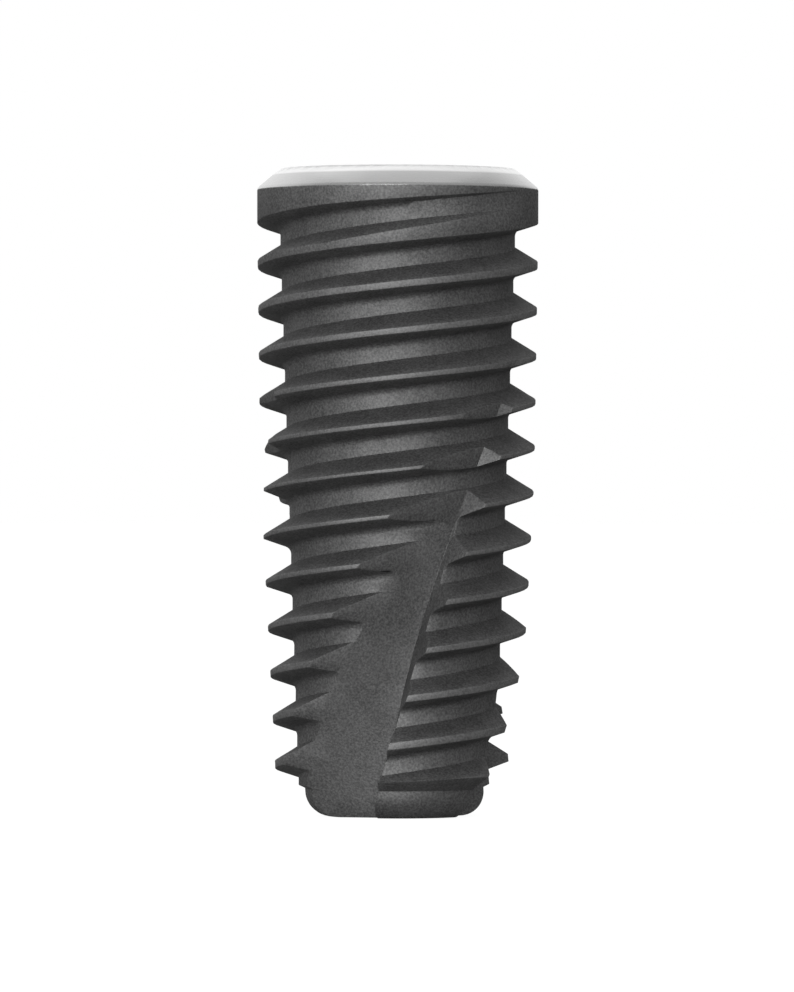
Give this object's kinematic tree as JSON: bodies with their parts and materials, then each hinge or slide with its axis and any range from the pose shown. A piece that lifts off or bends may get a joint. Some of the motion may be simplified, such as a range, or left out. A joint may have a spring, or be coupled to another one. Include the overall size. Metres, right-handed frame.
{
  "type": "dental implant",
  "caption": "Tapered screw-shaped dental implant with a double-lead thread, twisted cutting flutes, a bevelled platform and a conical hex connection.",
  "frame": {"origin": "centre of the apex, on the plane that the implant stands on", "axes": "+Z along the implant's axis, from the apex to the platform"},
  "size_m": [0.005, 0.005, 0.0115],
  "materials": {
    "titanium": "titanium, grit-blasted and acid-etched on the thread and collar, machined on the platform bevels and inside"
  },
  "bodies": {
    "root": {"implant_body": "titanium"}
  },
  "joints": []
}
